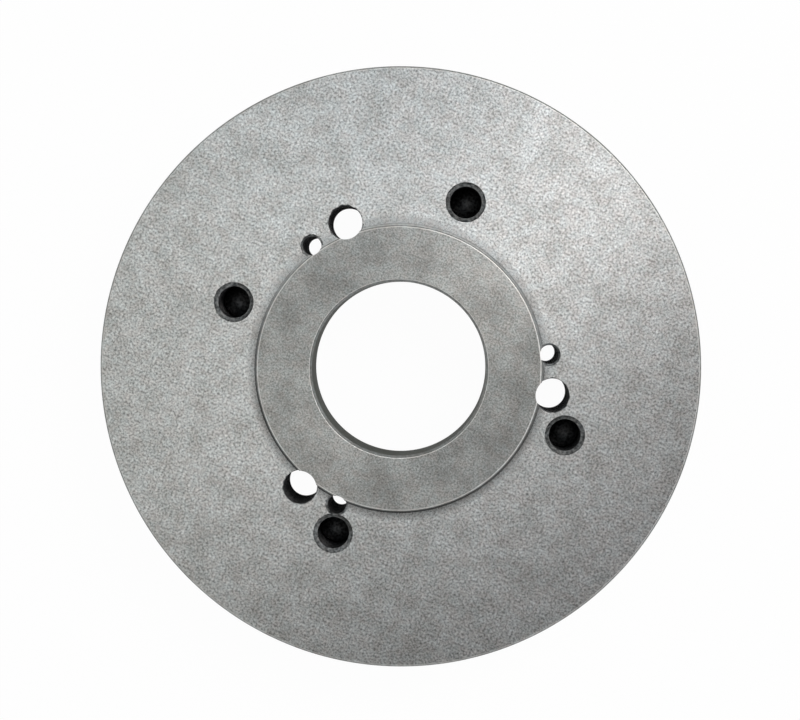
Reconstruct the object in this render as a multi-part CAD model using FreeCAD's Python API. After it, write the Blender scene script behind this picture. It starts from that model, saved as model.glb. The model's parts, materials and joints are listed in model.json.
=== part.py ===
"""Chuck backplate: a turned and drilled iron disc that carries a lathe chuck on a cam-lock spindle nose.

Millimetres. The origin is the centre of the spindle face, on which the disc lies.
+Z points away from the spindle, towards the chuck. +X runs through one of the chuck bolt holes.
"""

import FreeCAD, Part
import math
import os

# Turned outline
plate_diameter = 160.0
flange_thickness = 27.0
rim_front_chamfer = 0.4
rim_rear_chamfer = 1.0

# Register boss that centres the chuck, with a narrow groove at its foot
boss_diameter = 76.0
boss_height = 2.0
boss_chamfer = 0.4
foot_groove_width = 0.6
foot_groove_depth = 0.4

# Through bore
bore_diameter = 46.2
bore_front_chamfer = 0.6
bore_rear_chamfer = 0.5

# Short taper socket that seats on the spindle nose, with an undercut at its inner end
taper_mouth_diameter = 63.513
taper_half_angle = 7.125
taper_length = 11.0
taper_mouth_chamfer = 0.4
undercut_length = 3.0
undercut_depth = 0.8

# Blind tapped holes for the chuck bolts, at their tapping size
bolt_circle = 95.0
bolt_count = 4
bolt_first_angle = 0.0
bolt_hole_diameter = 8.5
bolt_countersink_diameter = 10.6
bolt_countersink_angle = 90.0
bolt_drill_point_angle = 118.0

# Metal left between the full depth of a bolt hole and the floors of the stud seats
bolt_floor_clearance = 3.5

# Tapped through holes for the cam-lock studs, at their tapping size, and the seats of the stud bodies
stud_circle = 82.55
stud_count = 3
stud_first_angle = 12.0
stud_hole_diameter = 9.0
stud_hole_chamfer = 0.3
stud_seat_diameter = 16.1
stud_seat_depth = 8.5
stud_seat_chamfer = 0.5

# Tapped through holes for the screws that lock the studs, and the seats of their heads
lock_circle = 80.0
lock_lead_angle = 15.24
lock_hole_diameter = 5.0
lock_hole_chamfer = 0.5
lock_seat_diameter = 10.5
lock_seat_depth = 6.5
lock_seat_chamfer = 0.3

# How far each cutter passes the face that it opens
overrun = 1.0

up = FreeCAD.Vector(0, 0, 1)
overall_height = flange_thickness + boss_height


def turned(section, centre=0.0):
    """A solid turned about the upright line at x = centre.

    section: the (radius, height) corners of its half section, in order.
    """
    corners = [FreeCAD.Vector(centre + radius, 0, height) for radius, height in section]
    outline = Part.makePolygon(corners + corners[:1])
    return Part.Face(outline).revolve(FreeCAD.Vector(centre, 0, 0), up, 360)


def around(cutter, count, first_angle):
    """Copies of a cutter that was made on +X, evenly spaced about Z."""
    copies = []
    for k in range(count):
        copy = cutter.copy()
        copy.rotate(FreeCAD.Vector(0, 0, 0), up, first_angle + 360 / count * k)
        copies.append(copy)
    return copies


def rise(run, angle):
    """The height over which a cone at a half angle in degrees widens by run."""
    return run / math.tan(math.radians(angle))


def blank():
    """The disc with its boss, bore and taper socket, before drilling."""
    plate = plate_diameter / 2
    boss = boss_diameter / 2
    bore = bore_diameter / 2
    slope = math.tan(math.radians(taper_half_angle))
    taper_mouth = taper_mouth_diameter / 2 - taper_mouth_chamfer * slope
    taper_end = taper_mouth_diameter / 2 - taper_length * slope
    socket_end = taper_length + undercut_length
    groove_floor = flange_thickness - foot_groove_depth
    return turned([
        (taper_mouth + taper_mouth_chamfer, 0),
        (plate - rim_rear_chamfer, 0),
        (plate, rim_rear_chamfer),
        (plate, flange_thickness - rim_front_chamfer),
        (plate - rim_front_chamfer, flange_thickness),
        (boss + foot_groove_width, flange_thickness),
        (boss + foot_groove_width, groove_floor),
        (boss, groove_floor),
        (boss, overall_height - boss_chamfer),
        (boss - boss_chamfer, overall_height),
        (bore + bore_front_chamfer, overall_height),
        (bore, overall_height - bore_front_chamfer),
        (bore, socket_end + bore_rear_chamfer),
        (bore + bore_rear_chamfer, socket_end),
        (taper_end + undercut_depth, socket_end),
        (taper_end + undercut_depth, taper_length),
        (taper_end, taper_length),
        (taper_mouth, taper_mouth_chamfer),
    ])


def bolt_hole():
    """Cutter for a blind bolt hole: its countersink, wall and drill point, from the flange's front."""
    hole = bolt_hole_diameter / 2
    countersink = bolt_countersink_diameter / 2
    half_angle = bolt_countersink_angle / 2
    floor = stud_seat_depth + bolt_floor_clearance
    section = [
        (0, floor - rise(hole, bolt_drill_point_angle / 2)),
        (hole, floor),
        (hole, flange_thickness - rise(countersink - hole, half_angle)),
        (countersink, flange_thickness),
        (countersink, flange_thickness + overrun),
        (0, flange_thickness + overrun),
    ]
    return turned(section, bolt_circle / 2)


def stepped_hole(circle, hole_diameter, seat_diameter, seat_depth, seat_chamfer):
    """Cutter for a through hole with a chamfered seat for its fastener at the spindle face."""
    hole = hole_diameter / 2
    seat = seat_diameter / 2
    section = [
        (0, -overrun),
        (seat + seat_chamfer, -overrun),
        (seat + seat_chamfer, 0),
        (seat, seat_chamfer),
        (seat, seat_depth),
        (hole, seat_depth),
        (hole, overall_height + overrun),
        (0, overall_height + overrun),
    ]
    return turned(section, circle / 2)


def front_break(circle, hole_diameter, chamfer):
    """Cutter for a through hole's broken edge on the flange's front, which leaves the boss whole."""
    hole = hole_diameter / 2
    section = [
        (0, flange_thickness - chamfer),
        (hole, flange_thickness - chamfer),
        (hole + chamfer, flange_thickness),
        (hole + chamfer, flange_thickness + overrun),
        (0, flange_thickness + overrun),
    ]
    boss = Part.makeCylinder(boss_diameter / 2, overall_height + overrun)
    return turned(section, circle / 2).cut(boss)


def backplate():
    """The finished disc."""
    lock_angle = stud_first_angle + lock_lead_angle
    stud_hole = stepped_hole(
        stud_circle, stud_hole_diameter, stud_seat_diameter, stud_seat_depth, stud_seat_chamfer
    )
    lock_hole = stepped_hole(
        lock_circle, lock_hole_diameter, lock_seat_diameter, lock_seat_depth, lock_seat_chamfer
    )
    stud_break = front_break(stud_circle, stud_hole_diameter, stud_hole_chamfer)
    lock_break = front_break(lock_circle, lock_hole_diameter, lock_hole_chamfer)
    cutters = around(bolt_hole(), bolt_count, bolt_first_angle)
    for cutter in (stud_hole, stud_break):
        cutters += around(cutter, stud_count, stud_first_angle)
    for cutter in (lock_hole, lock_break):
        cutters += around(cutter, stud_count, lock_angle)
    plate = blank()
    for cutter in cutters:
        plate = plate.cut(cutter)
    return plate.removeSplitter()


def main():
    """Builds the disc and writes its STEP file."""
    os.makedirs("parts", exist_ok=True)
    plate = backplate()
    print(f"backplate: {len(plate.Solids)} solid, valid {plate.isValid()}, {plate.Volume / 1000:.1f} cm3")
    plate.Solids[0].exportStep("parts/backplate.step")


main()
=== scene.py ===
"""Looks of a chuck backplate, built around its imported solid.

Metres, with the solid's own axes: the origin is the centre of the spindle face, +Z points towards the chuck,
and +X runs through a chuck bolt hole. Shapes are worked out in millimetres and scaled once.
"""

import json
import logging
import math
from dataclasses import dataclass, field
from enum import IntEnum

import bmesh
import bpy
import numpy as np
from mathutils import Matrix, Vector


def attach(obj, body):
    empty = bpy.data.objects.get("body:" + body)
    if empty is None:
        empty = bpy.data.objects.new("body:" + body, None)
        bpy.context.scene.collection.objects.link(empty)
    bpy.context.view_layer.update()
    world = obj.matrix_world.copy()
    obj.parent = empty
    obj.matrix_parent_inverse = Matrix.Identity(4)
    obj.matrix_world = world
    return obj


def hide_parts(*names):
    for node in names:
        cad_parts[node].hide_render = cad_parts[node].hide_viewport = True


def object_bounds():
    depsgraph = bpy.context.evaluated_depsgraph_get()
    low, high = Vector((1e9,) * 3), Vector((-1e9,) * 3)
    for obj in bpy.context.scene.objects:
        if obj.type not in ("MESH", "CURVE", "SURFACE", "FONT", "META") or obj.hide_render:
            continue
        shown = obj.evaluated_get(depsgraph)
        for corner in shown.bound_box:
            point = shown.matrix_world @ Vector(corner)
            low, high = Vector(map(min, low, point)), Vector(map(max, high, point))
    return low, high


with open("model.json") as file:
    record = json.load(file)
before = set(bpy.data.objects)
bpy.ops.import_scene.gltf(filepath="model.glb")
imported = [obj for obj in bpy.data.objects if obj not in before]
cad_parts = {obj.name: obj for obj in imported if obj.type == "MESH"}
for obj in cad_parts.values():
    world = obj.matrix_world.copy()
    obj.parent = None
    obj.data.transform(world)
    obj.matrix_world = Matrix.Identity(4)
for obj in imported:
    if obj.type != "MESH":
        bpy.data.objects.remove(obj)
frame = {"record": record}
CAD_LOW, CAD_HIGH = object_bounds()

LOG = logging.getLogger("backplate")
MM = 0.001
NODE = "backplate"
BODY = "root"
WHITE = "#FFFFFF"
# Points nearer than this are merged, and edges shorter than this are taken out, in metres
MERGE_DISTANCE, SLIVER_LENGTH = 1e-6, 1e-7
# Numbers of the Mix node's two inputs and its result, by what it mixes
MIX_SOCKETS = {"RGBA": (6, 7, 2), "FLOAT": (2, 3, 0)}
MOUNTS = {mount["name"]: mount["dims"] for mount in frame["record"]["mounts"]}

Socket = bpy.types.NodeSocket
Colour = tuple[float, float, float, float]


class Finish(IntEnum):
    """The plate's finishes, in the order of its material slots."""

    FLANGE = 0
    BOSS = 1
    FOOT = 2
    GROOVE = 3
    BRIGHT_EDGE = 4
    CHAMFER = 5
    RIM = 6
    BORE = 7
    SPINDLE_FACE = 8
    TAPER = 9
    COUNTERSINK = 10
    THREAD = 11
    SEAT = 12
    MOUTH = 13


FLAT_FINISHES = [Finish.FLANGE, Finish.BOSS, Finish.FOOT, Finish.SPINDLE_FACE]


def linear(hex_colour: str) -> Colour:
    """Turns an sRGB hex colour into the linear colour that Blender's sockets take.

    A channel c, from 0 to 1, becomes c / 12.92 up to 0.04045, and ((c + 0.055) / 1.055) ** 2.4 above it.

    Args:
        hex_colour: six hex digits after a #.

    Returns:
        Red, green and blue from 0 to 1, and an alpha of 1.
    """
    srgb = [int(hex_colour[k : k + 2], 16) / 255 for k in (1, 3, 5)]
    red, green, blue = (c / 12.92 if c <= 0.04045 else ((c + 0.055) / 1.055) ** 2.4 for c in srgb)
    return red, green, blue, 1.0


def add_node(tree: bpy.types.NodeTree, kind: str, inputs: dict, **settings: object) -> bpy.types.Node:
    """Adds a shader node, with its settings, values and links.

    Args:
        tree: the node tree that gets the node.
        kind: Blender's name for the node's type, without its ShaderNode.
        inputs: what each input takes, by name or number: a value, or an output socket to link.
        settings: the node's own attributes.

    Returns:
        The new node.
    """
    node = tree.nodes.new("ShaderNode" + kind)
    for name, value in settings.items():
        setattr(node, name, value)
    for key, value in inputs.items():
        if isinstance(value, Socket):
            tree.links.new(value, node.inputs[key])
        else:
            node.inputs[key].default_value = value
    return node


def maths(tree: bpy.types.NodeTree, operation: str, *terms: Socket | float) -> Socket:
    """Adds a step of arithmetic, by Blender's name for it, and gives its result's socket."""
    return add_node(tree, "Math", dict(enumerate(terms)), operation=operation).outputs[0]


def noise(
    tree: bpy.types.NodeTree, place: Socket, scale: float, detail: float, roughness: float = 0.5
) -> Socket:
    """Adds random clouds, whose values gather round 0.5.

    Args:
        tree: the node tree that gets them.
        place: where on the plate, in millimetres.
        scale: how many clouds there are to a millimetre.
        detail: how many layers of finer clouds they carry.
        roughness: strength of each layer, as a share of the one before.

    Returns:
        The socket of their values, from 0 to 1.
    """
    inputs = {"Vector": place, "Scale": scale, "Detail": detail, "Roughness": roughness}
    return add_node(tree, "TexNoise", inputs).outputs["Fac"]


def ranged(
    tree: bpy.types.NodeTree, value: Socket, source: tuple[float, float],
    target: tuple[float, float] = (0.0, 1.0), interpolation: str = "LINEAR",
) -> Socket:
    """Carries a value from one range to another, and holds it at the ends.

    Args:
        tree: the node tree that gets the step.
        value: the value's socket.
        source: the first range's ends.
        target: what those ends become.
        interpolation: Blender's name for the way between them.

    Returns:
        The new value's socket.
    """
    ends = zip(("From Min", "From Max", "To Min", "To Max"), source + target)
    inputs = {"Value": value} | dict(ends)
    return add_node(tree, "MapRange", inputs, interpolation_type=interpolation).outputs[0]


def mixed(
    tree: bpy.types.NodeTree, share: Socket | float, first: Socket | Colour, second: Socket | Colour | float,
    data_type: str = "RGBA", blend_type: str = "MIX",
) -> Socket:
    """Mixes two colours or numbers.

    Args:
        tree: the node tree that gets the mix.
        share: how much of the second goes in, from 0 to 1.
        first: what is there.
        second: what goes in.
        data_type: Blender's name for what is mixed.
        blend_type: Blender's name for how a colour goes in.

    Returns:
        The result's socket.
    """
    first_socket, second_socket, result = MIX_SOCKETS[data_type]
    inputs = {"Factor": share, first_socket: first, second_socket: second}
    return add_node(tree, "Mix", inputs, data_type=data_type, blend_type=blend_type).outputs[result]


def empty_tree(owner: bpy.types.ID) -> bpy.types.NodeTree:
    """Gives a material or world a node tree with nothing in it.

    Args:
        owner: the material or world.

    Returns:
        Its node tree.
    """
    owner.use_nodes = True
    owner.node_tree.nodes.clear()
    return owner.node_tree


@dataclass
class Surface:
    """Points, in millimetres, and faces of one or more surfaces, with the finish of each face."""

    points: np.ndarray
    faces: np.ndarray
    finishes: np.ndarray

    @classmethod
    def joined(cls, parts: list["Surface"]) -> "Surface":
        """Puts several surfaces into one.

        Args:
            parts: the surfaces.

        Returns:
            One surface that holds them all.
        """
        starts = np.cumsum([0] + [len(part.points) for part in parts])
        return cls(
            np.vstack([part.points for part in parts]),
            np.vstack([part.faces + start for part, start in zip(parts, starts)]),
            np.concatenate([part.finishes for part in parts]),
        )

    def placed(self, circle_radius: float, angle: float) -> "Surface":
        """Moves a surface made on the Z axis to a place on a circle of holes.

        It moves by (R cos a, R sin a), with the circle's radius R and the place's angle a.

        Args:
            circle_radius: distance from the plate's axis, in millimetres.
            angle: direction from +X, in degrees.

        Returns:
            The moved surface.
        """
        turn = math.radians(angle)
        shift = np.array([circle_radius * math.cos(turn), circle_radius * math.sin(turn), 0.0])
        return Surface(self.points + shift, self.faces, self.finishes)

    def mesh(self, name: str) -> bpy.types.Mesh:
        """Makes a closed Blender mesh of the surface, in metres.

        Args:
            name: the mesh's name.

        Returns:
            The new mesh, with its double points merged and its faces outward.
        """
        mesh = bpy.data.meshes.new(name)
        mesh.from_pydata((self.points * MM).tolist(), [], self.faces.tolist())
        mesh.polygons.foreach_set("material_index", self.finishes.astype(np.int32))
        work = bmesh.new()
        work.from_mesh(mesh)
        bmesh.ops.remove_doubles(work, verts=work.verts, dist=MERGE_DISTANCE)
        bmesh.ops.dissolve_degenerate(work, edges=work.edges, dist=SLIVER_LENGTH)
        bmesh.ops.recalc_face_normals(work, faces=work.faces)
        work.to_mesh(mesh)
        work.free()
        return mesh


def turned(section: list[tuple[float, float]], finishes: list[Finish], columns: int) -> Surface:
    """Turns a half section about Z.

    The corner (r, z) at column angle a becomes the point (r cos a, r sin a, z).

    Args:
        section: (radius, height) corners, in millimetres. An end on the axis closes there.
        finishes: the finish of the band between each corner and the next. One for every corner closes the
            section on itself, and one less leaves it open.
        columns: number of steps round the axis.

    Returns:
        The turned surface.
    """
    radius, height = (values[:, None] for values in np.array(section, float).T)
    angle = np.linspace(0, 2 * math.pi, columns, endpoint=False)[None, :]
    return carried(radius + 0 * angle, height + 0 * angle, np.array(finishes), 0)


def carried(radius: np.ndarray, height: np.ndarray, finishes: np.ndarray, lead_rows: int) -> Surface:
    """Joins a grid of points round Z into quads.

    Row i and column j lie at (r cos a, r sin a, z) for their own r and z, with the column's angle a.

    Args:
        radius: rows by columns, in millimetres.
        height: rows by columns, in millimetres.
        finishes: the finish of each row of quads.
        lead_rows: how many rows a full turn climbs, as along a thread.

    Returns:
        The surface.
    """
    rows, columns = radius.shape
    angle = np.linspace(0, 2 * math.pi, columns, endpoint=False)
    points = np.stack([radius * np.cos(angle), radius * np.sin(angle), height], axis=-1).reshape(-1, 3)
    row = np.arange(len(finishes))[:, None]
    column = np.arange(columns)[None, :]
    beyond = np.where(column == columns - 1, lead_rows, 0)
    near, far = row, row + 1
    if not lead_rows:
        far = far % rows
    next_column = (column + 1) % columns
    corners = [
        near * columns + column,
        np.minimum(near + beyond, rows - 1) * columns + next_column,
        np.minimum(far + beyond, rows - 1) * columns + next_column,
        far * columns + column,
    ]
    faces = np.stack(np.broadcast_arrays(*corners), axis=-1).reshape(-1, 4)
    return Surface(points, faces, np.repeat(finishes, columns))


@dataclass(frozen=True)
class Thread:
    """An internal thread, in millimetres. It fades out over run_out pitches at both ends."""

    minor_radius: float
    major_radius: float
    pitch: float
    run_out: float = 0.6

    # Steps round a hole
    COLUMNS = 48
    # Heights of one turn's corners, as shares of the pitch: the root's two edges, then the crest's
    CORNERS = np.array([0.0, 0.125, 0.4375, 0.6875])
    IS_ROOT = np.array([1.0, 1.0, 0.0, 0.0])

    @classmethod
    def of_mount(cls, name: str, major_radius: float, pitch: float) -> "Thread":
        """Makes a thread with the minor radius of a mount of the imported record."""
        return cls(MOUNTS[name]["hole_r_mm"], major_radius, pitch)

    def wall(self, low: float, high: float) -> Surface:
        """Makes the threaded wall between two heights.

        A corner that lies at h on column 0 climbs a pitch in one turn, so it lies at h + pitch a / 2 pi at
        angle a, held between low and high. Its radius is the minor one, plus the thread's depth at a root,
        times a share that falls to 0 at both ends.

        Args:
            low: lower end.
            high: upper end.

        Returns:
            The open wall, whose end rings have the minor radius.
        """
        turns = np.arange(-1, math.ceil((high - low) / self.pitch) + 1)
        base = low + self.pitch * (turns[:, None] + self.CORNERS[None, :]).reshape(-1, 1)
        root = np.tile(self.IS_ROOT, len(turns))[:, None]
        angle = np.linspace(0, 2 * math.pi, self.COLUMNS, endpoint=False)[None, :]
        height = np.clip(base + self.pitch * angle / (2 * math.pi), low, high)
        fade = np.clip(np.minimum(height - low, high - height) / (self.run_out * self.pitch), 0, 1)
        radius = self.minor_radius + (self.major_radius - self.minor_radius) * root * fade
        return carried(radius, height, np.full(len(base) - 1, Finish.THREAD), len(self.CORNERS))


@dataclass(frozen=True)
class HoleCircle:
    """A circle of equal holes, in millimetres and degrees."""

    radius: float
    count: int
    first_angle: float

    @classmethod
    def of_mount(cls, name: str, first_angle: float) -> "HoleCircle":
        """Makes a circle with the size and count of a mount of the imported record."""
        return cls(MOUNTS[name]["pcd_mm"] / 2, MOUNTS[name]["count"], first_angle)

    def angle(self, place: int) -> float:
        """Gives the direction of one of its holes, in degrees from +X."""
        return self.first_angle + 360 / self.count * place

    def spread(self, holes: list[Surface]) -> Surface:
        """Sets one surface, made on the Z axis, at each place of the circle, and joins them."""
        return Surface.joined([hole.placed(self.radius, self.angle(k)) for k, hole in enumerate(holes)])


def chipped(radius: float, depth: float, seed: int) -> np.ndarray:
    """Gives a hole's mouth the small chips that drilling leaves in cast iron.

    Each column's radius grows by the depth times the cube of a random share, which leaves most of the edge
    whole.

    Args:
        radius: the mouth's radius before chipping, in millimetres.
        depth: the deepest chip, in millimetres.
        seed: seed of the random shares.

    Returns:
        The mouth's radius at each column.
    """
    return radius + depth * np.random.default_rng(seed).random(Thread.COLUMNS) ** 3


def uneven(rings: list[tuple[np.ndarray | float, float]], finishes: list[Finish]) -> Surface:
    """Joins the rings of a hole, whose radius may change from column to column.

    A ring lies at (r cos a, r sin a, z) on the column of angle a, with its height z and its radius r there.

    Args:
        rings: (radius, height) of each ring, in millimetres. A radius is one number, or one for each column.
        finishes: the finish of the band between each ring and the next.

    Returns:
        The open surface.
    """
    radius = np.stack([np.broadcast_to(ring, Thread.COLUMNS) for ring, _ in rings])
    height = np.stack([np.full(Thread.COLUMNS, level) for _, level in rings])
    return carried(radius, height, np.array(finishes), 0)


@dataclass(frozen=True)
class BoltHole:
    """A blind tapped hole for a chuck bolt, with a drill point and a countersink. Millimetres and degrees.

    The countersink ends in a steeper lip, lip_width wide and lip_fall deep. overrun is how far the cutter
    reaches beyond the flange.
    """

    circle: HoleCircle
    thread: Thread
    countersink_radius: float = 5.3
    lip_width: float = 0.15
    lip_fall: float = 0.25
    chip: float = 0.12
    floor: float = 12.0
    thread_floor: float = 14.5
    point_half_angle: float = 59.0
    overrun: float = 1.0

    def cutters(self, flange: float) -> Surface:
        """Makes the circle's closed cutters, for a flange whose front is at this height."""
        return self.circle.spread([self.cutter(flange, k) for k in range(self.circle.count)])

    def cutter(self, flange: float, place: int) -> Surface:
        """Makes one cutter: drill point, plain wall, thread, then a countersink with a steeper chipped lip.

        Args:
            flange: height of the flange's front.
            place: the hole's number on its circle.

        Returns:
            The closed cutter, on the Z axis.
        """
        minor = self.thread.minor_radius
        tip = self.floor - minor / math.tan(math.radians(self.point_half_angle))
        thread_top = flange - (self.countersink_radius - minor)
        top = flange + self.overrun
        lip = chipped(self.countersink_radius, self.chip, place)
        lip_foot = self.countersink_radius - self.lip_width
        below = [(0, tip), (minor, self.floor), (minor, self.thread_floor)]
        above = [(minor, thread_top), (lip_foot, flange - self.lip_fall), (lip, flange), (lip, top), (0, top)]
        return Surface.joined([
            turned(below, [Finish.THREAD] * 2, Thread.COLUMNS),
            self.thread.wall(self.thread_floor, thread_top),
            uneven(above, [Finish.COUNTERSINK] * 4),
        ])


@dataclass(frozen=True)
class ScrewHole:
    """A tapped through hole, with a seat for its fastener at the spindle face. Millimetres.

    overrun is how far the cutter reaches beyond the plate at both ends.
    """

    circle: HoleCircle
    thread: Thread
    seat_radius: float
    seat_depth: float
    seat_chamfer: float
    mouth_chamfer: float
    mouth_finish: Finish
    chip: float = 0.2
    overrun: float = 1.0

    def cutters(self, flange: float, height: float, boss_radius: float) -> Surface:
        """Makes the circle's closed cutters, for the heights of flange and boss and the boss's radius."""
        places = range(self.circle.count)
        return self.circle.spread([self.cutter(flange, height, boss_radius, k) for k in places])

    def cutter(self, flange: float, height: float, boss_radius: float, place: int) -> Surface:
        """Makes one cutter: a chamfered seat, a thread, then a chipped chamfer at the flange.

        The mouth is widened only outside the boss: a point at angle a lies at the chamfered radius where that
        is farther from the plate's axis than the boss's radius, and elsewhere at the thread's minor radius.

        Args:
            flange: height of the flange's front.
            height: height of the boss's top.
            boss_radius: radius of the boss.
            place: the hole's number on its circle.

        Returns:
            The closed cutter, on the Z axis.
        """
        minor = self.thread.minor_radius
        thread_top = flange - self.mouth_chamfer
        top = height + self.overrun
        below = [
            (0, -self.overrun),
            (self.seat_radius + self.seat_chamfer, -self.overrun),
            (self.seat_radius + self.seat_chamfer, 0),
            (self.seat_radius, self.seat_chamfer),
            (self.seat_radius, self.seat_depth),
            (minor, self.seat_depth),
        ]
        widened = chipped(minor + self.mouth_chamfer, self.chip, self.circle.count + place)
        turn = np.linspace(0, 2 * math.pi, Thread.COLUMNS, endpoint=False)
        turn = turn - math.radians(self.circle.angle(place))
        from_axis = np.hypot(self.circle.radius + widened * np.cos(turn), widened * np.sin(turn))
        mouth = np.where(from_axis > boss_radius, widened, minor)
        above = [(minor, thread_top), (mouth, flange), (mouth, top), (0, top)]
        return Surface.joined([
            turned(below, [Finish.SEAT] * 5, Thread.COLUMNS),
            self.thread.wall(self.seat_depth, thread_top),
            uneven(above, [self.mouth_finish] + [Finish.COUNTERSINK] * 2),
        ])


@dataclass
class CastPlate:
    """The plate: a turned disc with its boss, bore and taper socket, and its tapped holes. Millimetres.

    Attributes:
        finishes: the finish of each kind of face.
        band_width: width of the rubbed band round the groove, which carries the boss's painted shadow.
        worn_width: width of the worn bands at the edges, which are painted bright as highlights.
        worn_fall: how far a worn band falls away from its face.
        columns: steps round the disc.
        sharp_angle: angle between two faces, in degrees, from which their edge is drawn sharp.
    """

    finishes: dict[Finish, "IronFinish"]
    radius: float = CAD_HIGH.x / MM
    height: float = CAD_HIGH.z / MM
    boss_radius: float = MOUNTS["register_boss"]["r_mm"]
    bore_radius: float = MOUNTS["bore"]["r_mm"]
    boss_height: float = 2.0
    rim_front_chamfer: float = 0.4
    rim_rear_chamfer: float = 1.0
    boss_chamfer: float = 0.4
    groove_width: float = 0.6
    groove_depth: float = 0.4
    band_width: float = 1.9
    worn_width: float = 0.14
    worn_fall: float = 0.035
    bore_front_chamfer: float = 0.6
    bore_rear_chamfer: float = 0.5
    taper_mouth_radius: float = 63.513 / 2
    taper_half_angle: float = 7.125
    taper_length: float = 11.0
    taper_mouth_chamfer: float = 0.4
    undercut_length: float = 3.0
    undercut_depth: float = 0.8
    columns: int = 360
    sharp_angle: float = 28.0

    bolt_hole: BoltHole = BoltHole(
        HoleCircle.of_mount("chuck_bolts", first_angle=0.0),
        Thread.of_mount("chuck_bolts", major_radius=5.0, pitch=1.5),
    )
    stud_hole: ScrewHole = ScrewHole(
        HoleCircle.of_mount("cam_studs", first_angle=12.0),
        Thread.of_mount("cam_studs", major_radius=5.0, pitch=1.0),
        seat_radius=8.05, seat_depth=8.5, seat_chamfer=0.5, mouth_chamfer=0.08, mouth_finish=Finish.MOUTH,
        chip=0.35,
    )
    lock_hole: ScrewHole = ScrewHole(
        HoleCircle.of_mount("lock_screws", first_angle=27.24),
        Thread.of_mount("lock_screws", major_radius=3.0, pitch=1.0),
        seat_radius=5.25, seat_depth=6.5, seat_chamfer=0.3, mouth_chamfer=0.5,
        mouth_finish=Finish.COUNTERSINK,
    )

    @property
    def flange(self) -> float:
        """Height of the flange's front."""
        return self.height - self.boss_height

    def disc(self) -> Surface:
        """Makes the turned disc: its half section, carried round the axis.

        The taper's radius at height z is its mouth's radius less z times the tangent of its half angle.

        Returns:
            The closed disc.
        """
        slope = math.tan(math.radians(self.taper_half_angle))
        mouth = self.taper_mouth_radius - self.taper_mouth_chamfer * slope
        end = self.taper_mouth_radius - self.taper_length * slope
        socket = self.taper_length + self.undercut_length
        groove = self.boss_radius + self.groove_width
        worn, fall = self.worn_width, self.worn_fall
        rows = [
            (mouth + self.taper_mouth_chamfer, 0, Finish.SPINDLE_FACE),
            (self.radius - self.rim_rear_chamfer, 0, Finish.CHAMFER),
            (self.radius, self.rim_rear_chamfer, Finish.RIM),
            (self.radius, self.flange - self.rim_front_chamfer, Finish.CHAMFER),
            (self.radius - self.rim_front_chamfer, self.flange - fall, Finish.BRIGHT_EDGE),
            (self.radius - self.rim_front_chamfer - worn, self.flange, Finish.FLANGE),
            (groove + self.band_width, self.flange, Finish.FOOT),
            (groove, self.flange, Finish.GROOVE),
            (groove, self.flange - self.groove_depth, Finish.GROOVE),
            (self.boss_radius, self.flange - self.groove_depth, Finish.GROOVE),
            (self.boss_radius, self.height - self.boss_chamfer, Finish.CHAMFER),
            (self.boss_radius - self.boss_chamfer + worn, self.height - worn, Finish.BRIGHT_EDGE),
            (self.boss_radius - self.boss_chamfer, self.height - fall, Finish.BRIGHT_EDGE),
            (self.boss_radius - self.boss_chamfer - worn, self.height, Finish.BOSS),
            (self.bore_radius + self.bore_front_chamfer + worn, self.height, Finish.BRIGHT_EDGE),
            (self.bore_radius + self.bore_front_chamfer, self.height - fall, Finish.CHAMFER),
            (self.bore_radius, self.height - self.bore_front_chamfer, Finish.BORE),
            (self.bore_radius, socket + self.bore_rear_chamfer, Finish.CHAMFER),
            (self.bore_radius + self.bore_rear_chamfer, socket, Finish.SPINDLE_FACE),
            (end + self.undercut_depth, socket, Finish.TAPER),
            (end + self.undercut_depth, self.taper_length, Finish.TAPER),
            (end, self.taper_length, Finish.TAPER),
            (mouth, self.taper_mouth_chamfer, Finish.CHAMFER),
        ]
        return turned([row[:2] for row in rows], [row[2] for row in rows], self.columns)

    def cutters(self) -> dict[str, Surface]:
        """Makes the cutters of all holes.

        Returns:
            The cutters of each kind of hole, by its name.
        """
        made = {"bolt_holes": self.bolt_hole.cutters(self.flange)}
        for name, hole in {"stud_holes": self.stud_hole, "lock_holes": self.lock_hole}.items():
            made[name] = hole.cutters(self.flange, self.height, self.boss_radius)
        return made

    def build(self) -> bpy.types.Object:
        """Cuts the holes into the disc, dresses it and sets it in place of the plain solid.

        Returns:
            The finished piece.
        """
        materials = [self.finishes[finish].material() for finish in Finish]
        plate = self.as_object("cast_plate", self.disc(), materials)
        tools = [self.as_object(name, cutter, materials) for name, cutter in self.cutters().items()]
        for tool in tools:
            cut = plate.modifiers.new(tool.name, "BOOLEAN")
            cut.operation, cut.solver, cut.object, cut.material_mode = "DIFFERENCE", "EXACT", tool, "INDEX"
        cut_plate = plate.evaluated_get(bpy.context.evaluated_depsgraph_get())
        mesh = bpy.data.meshes.new_from_object(cut_plate)
        plate.modifiers.clear()
        plate.data = mesh
        for tool in tools:
            bpy.data.objects.remove(tool)
        finish = np.empty(len(mesh.polygons), np.int32)
        mesh.polygons.foreach_get("material_index", finish)
        # This makes every face smooth, so the flat ones are set after it
        mesh.set_sharp_from_angle(angle=math.radians(self.sharp_angle))
        mesh.polygons.foreach_set("use_smooth", ~np.isin(finish, FLAT_FINISHES))
        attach(plate, BODY)
        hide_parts(NODE)
        LOG.info("cast_plate: %d faces, %d points", len(mesh.polygons), len(mesh.vertices))
        return plate

    def as_object(self, name: str, surface: Surface, materials: list[bpy.types.Material]) -> bpy.types.Object:
        """Makes an object of a surface and links it to the scene.

        Args:
            name: the object's name.
            surface: its shape.
            materials: the plate's materials, by finish.

        Returns:
            The new object, at the origin.
        """
        mesh = surface.mesh(name)
        for material in materials:
            mesh.materials.append(material)
        made = bpy.data.objects.new(name, mesh)
        bpy.context.scene.collection.objects.link(made)
        return made


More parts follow.
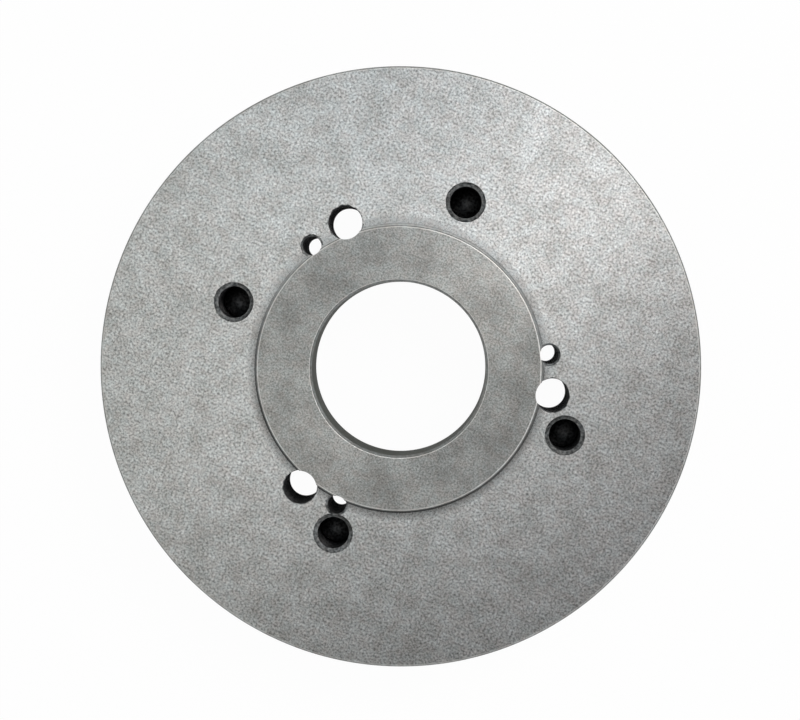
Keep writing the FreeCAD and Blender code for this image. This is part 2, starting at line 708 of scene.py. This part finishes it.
@dataclass(frozen=True)
class IronFinish:
    """Grey cast iron, a metal with soft graphite flakes in it, with one kind of surface.

    Lengths are in millimetres, and shares run from 0 to 1.

    Attributes:
        name: the material's name.
        light: colour of the iron.
        dark: colour of its graphite.
        roughness: middle of its roughness.
        grain: size of the grain, which mixes iron and graphite.
        contrast: how sharply the grain tells them apart, from 0 to 1.
        roughness_range: how much rougher the iron is than the graphite.
        relief: height of the grain's bumps.
        stain: what the stains multiply the colour by.
        stain_size: size of the stains.
        stain_share: their greatest share.
        glint_share: greatest share of the bright specks. At 0 there are none.
        mark_pitch: width of the tool's rings. At 0 there are none.
        mark_relief: height of the tool's rings.
        tint_share: share of the small cool and warm patches.
        anisotropy: how strongly the tool's marks stretch a glint. At 0 they don't.
        edge_tint: strength of the reflection where the surface is seen at its flattest.
        shade: what the colour is multiplied by up to shade_from, as painted shade.
        shade_from: distance from the plate's axis where the shade begins to fade.
        shade_to: distance from the axis where it has gone. At 0 there is no shade.
        lit_bearing: side where the painted shade is weakest, as the light comes from there, in degrees from
            +X.
    """

    name: str
    light: str
    dark: str
    roughness: float
    grain: float = 0.8
    contrast: float = 0.5
    roughness_range: float = 0.04
    relief: float = 0.01
    stain: str = "#8C8B80"
    stain_size: float = 14.0
    stain_share: float = 0.25
    glint_share: float = 0.0
    mark_pitch: float = 0.0
    mark_relief: float = 0.0
    tint_share: float = 0.5
    anisotropy: float = 0.0
    edge_tint: float = 1.0
    shade: float = 1.0
    shade_from: float = 0.0
    shade_to: float = 0.0
    lit_bearing: float = 107.0

    # Half the span of the grain's noise at no contrast, and a contrast just beyond 1 that keeps the span open
    GRAIN_REACH, BEYOND_FULL = 0.3, 1.001
    # Levels of the noise between which each pattern fades in
    STAIN_LEVELS, TINT_LEVELS, GLINT_LEVELS = (0.4, 0.65), (0.35, 0.65), (0.62, 0.76)
    COOL_TINT, WARM_TINT, TINT_SIZE = "#F8FFFF", "#EBE5E0", 2.0
    GLINT_COLOUR, GLINTS_PER_GRAIN = "#F4F3EE", 1.35
    # Cosines of the angle from lit_bearing between which the painted shade gives way. The second lies beyond
    # 1, so it never gives way in full
    LIT_SIDE_COSINES = (-0.45, 1.5)

    def material(self) -> bpy.types.Material:
        """Makes the finish's material.

        Returns:
            A material whose patterns lie on Object coordinates, in millimetres.
        """
        made = bpy.data.materials.new(self.name)
        tree = empty_tree(made)
        place = add_node(tree, "TexCoord", {}).outputs["Object"]
        place = add_node(tree, "VectorMath", {0: place, "Scale": 1 / MM}, operation="SCALE").outputs[0]
        split = add_node(tree, "SeparateXYZ", {0: place}).outputs
        flat = add_node(tree, "CombineXYZ", {0: split[0], 1: split[1]}).outputs[0]
        out = add_node(tree, "VectorMath", {0: flat}, operation="LENGTH").outputs["Value"]
        height = noise(tree, place, 1 / self.grain, detail=1.0, roughness=0.6)
        reach = self.GRAIN_REACH * (self.BEYOND_FULL - self.contrast)
        mottle = ranged(tree, height, (0.5 - reach, 0.5 + reach))
        colour = self.painted(tree, place, mottle)
        # Painted shade towards the axis, weaker on the side that the light comes from
        if self.shade_to:
            colour = self.shaded(tree, place, out, colour)
        if self.mark_pitch:
            height = self.marked(tree, maths(tree, "ADD", out, split[2]), height)
        bump = add_node(tree, "Bump", {"Height": height, "Strength": 1.0, "Distance": self.relief * MM})
        spread = self.roughness_range / 2
        inputs = {
            "Base Color": colour,
            "Metallic": 1.0,
            "Roughness": ranged(tree, mottle, (0.0, 1.0), (self.roughness - spread, self.roughness + spread)),
            "Normal": bump.outputs[0],
            "Specular Tint": (self.edge_tint, self.edge_tint, self.edge_tint, 1.0),
            "Anisotropic": self.anisotropy,
        }
        if self.anisotropy:
            inputs["Tangent"] = self.across_marks(tree, place)
        shader = add_node(tree, "BsdfPrincipled", inputs)
        add_node(tree, "OutputMaterial", {"Surface": shader.outputs[0]})
        return made

    def painted(self, tree: bpy.types.NodeTree, place: Socket, mottle: Socket) -> Socket:
        """Paints the grain, then stains, small cool and warm patches, and bright specks.

        Args:
            tree: the material's node tree.
            place: where on the plate, in millimetres.
            mottle: the grain's share of iron.

        Returns:
            The colour's socket.
        """
        colour = mixed(tree, mottle, linear(self.dark), linear(self.light))
        stain = noise(tree, place, 1 / self.stain_size, detail=3.0, roughness=0.65)
        stain = ranged(tree, stain, self.STAIN_LEVELS, (0.0, self.stain_share))
        colour = mixed(tree, stain, colour, linear(self.stain), blend_type="MULTIPLY")
        tint = ranged(tree, noise(tree, place, 1 / self.TINT_SIZE, detail=2.0), self.TINT_LEVELS)
        tint = mixed(tree, tint, linear(self.COOL_TINT), linear(self.WARM_TINT))
        colour = mixed(tree, self.tint_share, colour, tint, blend_type="MULTIPLY")
        if self.glint_share:
            glint = noise(tree, place, self.GLINTS_PER_GRAIN / self.grain, detail=0.0)
            glint = ranged(tree, glint, self.GLINT_LEVELS, (0.0, self.glint_share))
            colour = mixed(tree, glint, colour, linear(self.GLINT_COLOUR))
        return colour

    def shaded(self, tree: bpy.types.NodeTree, place: Socket, out: Socket, colour: Socket) -> Socket:
        """Paints shade on the side of the plate's axis, less of it towards the side that the light comes
        from.

        A point at distance d from the axis is multiplied by a value that climbs smoothly from shade at
        shade_from to 1 at shade_to. That value is then brought nearer to 1 by the share
        (cos b + 0.45) / (1.5 + 0.45), never below 0, where b is the point's angle from the side that the
        light comes from.

        Args:
            tree: the material's node tree.
            place: where on the plate, in millimetres.
            out: the distance from the axis.
            colour: the finish's colour.

        Returns:
            The darkened colour's socket.
        """
        lit = ranged(tree, out, (self.shade_from, self.shade_to), (self.shade, 1.0), "SMOOTHSTEP")
        bearing = math.radians(self.lit_bearing)
        towards = (math.cos(bearing), math.sin(bearing), 0.0)
        along = add_node(tree, "VectorMath", {0: place, 1: towards}, operation="DOT_PRODUCT").outputs["Value"]
        lit_share = ranged(tree, maths(tree, "DIVIDE", along, out), self.LIT_SIDE_COSINES)
        lit = mixed(tree, lit_share, lit, 1.0, data_type="FLOAT")
        return mixed(tree, 1.0, colour, lit, blend_type="MULTIPLY")

    def marked(self, tree: bpy.types.NodeTree, along: Socket, grain: Socket) -> Socket:
        """Adds the tool's rings to the grain.

        Args:
            tree: the material's node tree.
            along: how far the tool has fed, in millimetres: the distance from the axis plus the height.
            grain: the grain's height, in shares of its relief.

        Returns:
            The socket of the height of both, in shares of the relief.
        """
        turns = maths(tree, "MULTIPLY", along, 1 / self.mark_pitch)
        ring = add_node(tree, "TexNoise", {"W": turns, "Scale": 1.0, "Detail": 2.0}, noise_dimensions="1D")
        ring = maths(tree, "MULTIPLY", ring.outputs["Fac"], self.mark_relief / self.relief)
        return maths(tree, "ADD", grain, ring)

    def across_marks(self, tree: bpy.types.NodeTree, place: Socket) -> Socket:
        """Gives the direction across the tool's marks: (p x -z) x n, at a point p with the normal n.

        Args:
            tree: the material's node tree.
            place: where on the plate.

        Returns:
            The direction's socket.
        """
        normal = add_node(tree, "NewGeometry", {}).outputs["Normal"]
        down = (0.0, 0.0, -1.0)
        marks = add_node(tree, "VectorMath", {0: place, 1: down}, operation="CROSS_PRODUCT").outputs[0]
        return add_node(tree, "VectorMath", {0: marks, 1: normal}, operation="CROSS_PRODUCT").outputs[0]


FINISHES = {
    # Front of the flange: fine turned, so its glints fan out, with an even grain and no tool marks to see
    Finish.FLANGE: IronFinish(
        "iron_turned_flange", "#DCDDDD", "#676868", 0.3, grain=0.6, contrast=0.0, glint_share=0.2,
        stain_size=7.0, stain_share=0.27, anisotropy=0.55,
    ),
    # Top of the boss: turned smooth and handled, so it is a darker grey, with faint rings
    Finish.BOSS: IronFinish(
        "iron_handled_boss", "#C9CAC8", "#70716F", 0.43, grain=0.5, contrast=0.0, stain="#8A8B88",
        stain_size=9.0, stain_share=0.36, mark_pitch=0.5, mark_relief=0.003, anisotropy=0.5,
    ),
    # Band at the boss's foot: rubbed smooth by the tool's corner, with the boss's shadow painted on it
    # towards the groove, weaker on the side that the light comes from
    Finish.FOOT: IronFinish(
        "iron_turned_foot", "#B4B5B5", "#8C8D8D", 0.28, grain=0.6, anisotropy=0.6, shade=0.58,
        shade_from=38.6, shade_to=40.4,
    ),
    # Groove at the boss's foot: painted dark as shade, less so on the side that the light comes from. The
    # shade covers its whole width.
    Finish.GROOVE: IronFinish(
        "iron_groove_painted_shade", "#F0F2F2", "#D8DADA", 0.6, contrast=0.3, shade=0.2, shade_from=38.7,
        shade_to=38.8,
    ),
    # Edges: worn bright by handling, and painted brighter still as the edges' highlight
    Finish.BRIGHT_EDGE: IronFinish("iron_worn_edge_and_highlight", "#F2F2F0", "#DCDCDA", 0.55, contrast=0.2),
    # Mouths of the stud holes: painted dark as the shade at their edge
    Finish.MOUTH: IronFinish("iron_mouth_painted_shade", "#6C6E70", "#4A4C4E", 0.5, contrast=0.4, edge_tint=0.5),
    # Chamfers: cut with a tool's flank, plain, and painted darker as the shade along the edges
    Finish.CHAMFER: IronFinish("iron_plain_chamfer", "#A0A2A1", "#828483", 0.4, contrast=0.3, edge_tint=0.5),
    # Outer rim: turned, with a fine feed
    Finish.RIM: IronFinish(
        "iron_turned_rim", "#ADAFAE", "#8B8D8C", 0.4, contrast=0.3, mark_pitch=0.3, mark_relief=0.003,
        anisotropy=0.4,
    ),
    # Bore: bored, darker than the faces, and kept dark however flat it is seen
    Finish.BORE: IronFinish(
        "iron_bored_wall", "#858783", "#636561", 0.4, contrast=0.3, anisotropy=0.4, edge_tint=0.25,
    ),
    # Face that seats on the spindle: faced on a lathe, with close rings
    Finish.SPINDLE_FACE: IronFinish(
        "iron_faced_spindle_side", "#ABADAC", "#8D8F8E", 0.34, contrast=0.3, mark_pitch=0.3,
        mark_relief=0.005, anisotropy=0.6,
    ),
    # Taper socket: ground, so it is the smoothest
    Finish.TAPER: IronFinish("iron_ground_taper", "#B4B6B5", "#9B9D9C", 0.28, contrast=0.2, anisotropy=0.4),
    # Countersinks: drilled, a little torn and oily
    Finish.COUNTERSINK: IronFinish("iron_drilled_countersink", "#A4A6A6", "#585A5C", 0.36, contrast=0.4),
    # Threads and drilled walls: nearly black
    Finish.THREAD: IronFinish("iron_dark_thread", "#474849", "#1E1E1F", 0.4, contrast=0.4, edge_tint=0.1),
    # Seats of studs and screw heads: counterbored
    Finish.SEAT: IronFinish("iron_counterbored_seat", "#8E908F", "#6E706F", 0.42, contrast=0.3),
}


@dataclass(frozen=True)
class SoftLamp:
    """A large square lamp that looks at the plate. Angles are in degrees and lengths in metres.

    bearing is measured from the photograph's right-hand side, towards its top.
    """

    name: str
    bearing: float
    elevation: float
    size: float
    power: float
    colour: str
    distance: float = 1.0


@dataclass
class Studio:
    """Floor, world, lamps and camera. Angles are in degrees, and lengths in metres unless they say otherwise.

    Attributes:
        turn: direction of the photograph's right-hand side, from +X.
        camera_place: where the camera stands, in millimetres.
        camera_tilt: how far it is turned about the photograph's horizontal.
        camera_pan: how far it is turned about the photograph's vertical.
        camera_near: nearest distance that the camera sees.
        focal_pixels: its focal length, in pixels of the photograph.
        picture_width: the photograph's width, in pixels.
        sensor_width: width of the camera's sensor, in millimetres.
        floor_half: half the floor's side.
        floor_drop: how far the floor lies under the plate, so that the two never touch.
        floor_glow: share of white light in what the camera, gloss and glass see of the floor.
        paper: the floor's colour.
        horizon: strength of the world's walls.
        zenith: strength of its ceiling.
        wall_top: height where the walls begin to darken, from 0 for level to 1 for straight up.
        ceiling_edge: height where they have become ceiling, in the same measure.
        lamps: the lamps.
    """

    turn: float = 21.925
    camera_place: tuple[float, float, float] = (6.677, 25.587, 486.971)
    camera_tilt: float = -2.361
    camera_pan: float = 1.928
    camera_near: float = 0.01
    focal_pixels: float = 1731.844
    picture_width: float = 800.0
    sensor_width: float = 36.0
    floor_half: float = 3.0
    floor_drop: float = 0.00002
    floor_glow: float = 0.97
    paper: str = "#F2F2F2"
    horizon: float = 1.0
    zenith: float = 0.08
    wall_top: float = 0.25
    ceiling_edge: float = 0.8
    lamps: list[SoftLamp] = field(default_factory=lambda: [
        SoftLamp("lamp_key", bearing=42, elevation=55, size=0.45, power=3.7, colour="#FFF9F7"),
        SoftLamp("lamp_lower_right", bearing=315, elevation=45, size=0.6, power=0.4, colour="#F3E9FF"),
        SoftLamp("lamp_top", bearing=90, elevation=68, size=0.6, power=0.68, colour="#EDF7FF"),
        SoftLamp("lamp_left", bearing=180, elevation=68, size=0.6, power=0.93, colour="#FEFFFB"),
        SoftLamp("lamp_above", bearing=45, elevation=88, size=0.3, power=0.565, colour="#FFFEFE"),
    ])

    def add_floor(self) -> None:
        """Lays a white floor that keeps the plate's shadow and shows as white to the camera and in metal."""
        half = self.floor_half
        mesh = bpy.data.meshes.new("floor")
        corners = [(-half, -half), (half, -half), (half, half), (-half, half)]
        mesh.from_pydata([(x, y, -self.floor_drop) for x, y in corners], [], [(0, 1, 2, 3)])
        material = bpy.data.materials.new("white_paper_floor")
        tree = empty_tree(material)
        path = add_node(tree, "LightPath", {}).outputs
        seen = maths(tree, "MAXIMUM", path["Is Camera Ray"], path["Is Glossy Ray"])
        seen = maths(tree, "MAXIMUM", seen, path["Is Transmission Ray"])
        share = maths(tree, "MULTIPLY", seen, self.floor_glow)
        paper = add_node(tree, "BsdfDiffuse", {"Color": linear(self.paper)})
        glow = add_node(tree, "Emission", {"Color": linear(WHITE), "Strength": 1.0})
        mix = add_node(tree, "MixShader", {0: share, 1: paper.outputs[0], 2: glow.outputs[0]})
        add_node(tree, "OutputMaterial", {"Surface": mix.outputs[0]})
        mesh.materials.append(material)
        floor = bpy.data.objects.new("floor", mesh)
        bpy.context.scene.collection.objects.link(floor)

    def add_world(self) -> None:
        """Surrounds the plate with white walls under a dark ceiling. The camera sees plain white."""
        world = bpy.data.worlds.new("studio")
        tree = empty_tree(world)
        towards = add_node(tree, "TexCoord", {}).outputs["Generated"]
        up = add_node(tree, "SeparateXYZ", {0: towards}).outputs[2]
        heights, strengths = (self.wall_top, self.ceiling_edge), (self.horizon, self.zenith)
        strength = ranged(tree, up, heights, strengths, "SMOOTHSTEP")
        seen = add_node(tree, "LightPath", {}).outputs["Is Camera Ray"]
        strength = mixed(tree, seen, strength, 1.0, data_type="FLOAT")
        light = add_node(tree, "Background", {"Color": linear(WHITE), "Strength": strength})
        add_node(tree, "OutputWorld", {"Surface": light.outputs[0]})
        bpy.context.scene.world = world

    def add_lamps(self) -> None:
        """Hangs the lamps, each facing the plate."""
        for lamp in self.lamps:
            data = bpy.data.lights.new(lamp.name, "AREA")
            data.shape, data.size, data.energy = "SQUARE", lamp.size, lamp.power
            data.color = linear(lamp.colour)[:3]
            bearing, rise = math.radians(lamp.bearing + self.turn), math.radians(lamp.elevation)
            out = Vector((
                math.cos(bearing) * math.cos(rise), math.sin(bearing) * math.cos(rise), math.sin(rise)
            ))
            hung = bpy.data.objects.new(lamp.name, data)
            hung.location = out * lamp.distance
            hung.rotation_mode = "QUATERNION"
            hung.rotation_quaternion = out.to_track_quat("Z", "Y")
            hung.visible_camera = False
            bpy.context.scene.collection.objects.link(hung)

    def add_camera(self) -> None:
        """Sets the camera where the photograph was taken from, above the plate."""
        data = bpy.data.cameras.new("camera")
        data.sensor_width = self.sensor_width
        data.lens = self.focal_pixels / self.picture_width * self.sensor_width
        data.clip_start = self.camera_near
        camera = bpy.data.objects.new("camera", data)
        rotation = (
            Matrix.Rotation(math.radians(self.turn), 4, "Z")
            @ Matrix.Rotation(math.radians(self.camera_tilt), 4, "X")
            @ Matrix.Rotation(math.radians(self.camera_pan), 4, "Y")
        )
        camera.matrix_world = Matrix.Translation(Vector(self.camera_place) * MM) @ rotation
        bpy.context.scene.collection.objects.link(camera)
        bpy.context.scene.camera = camera

    def build(self) -> None:
        """Sets up everything round the plate."""
        self.add_floor()
        self.add_world()
        self.add_lamps()
        self.add_camera()
        bpy.context.scene.view_settings.view_transform = "Standard"
        LOG.info("studio: %d lamps", len(self.lamps))


def main() -> None:
    """Builds the plate and its studio."""
    logging.basicConfig(level=logging.INFO, format="%(name)s: %(message)s")
    CastPlate(finishes=FINISHES).build()
    Studio().build()


if __name__ == "__main__":
    main()
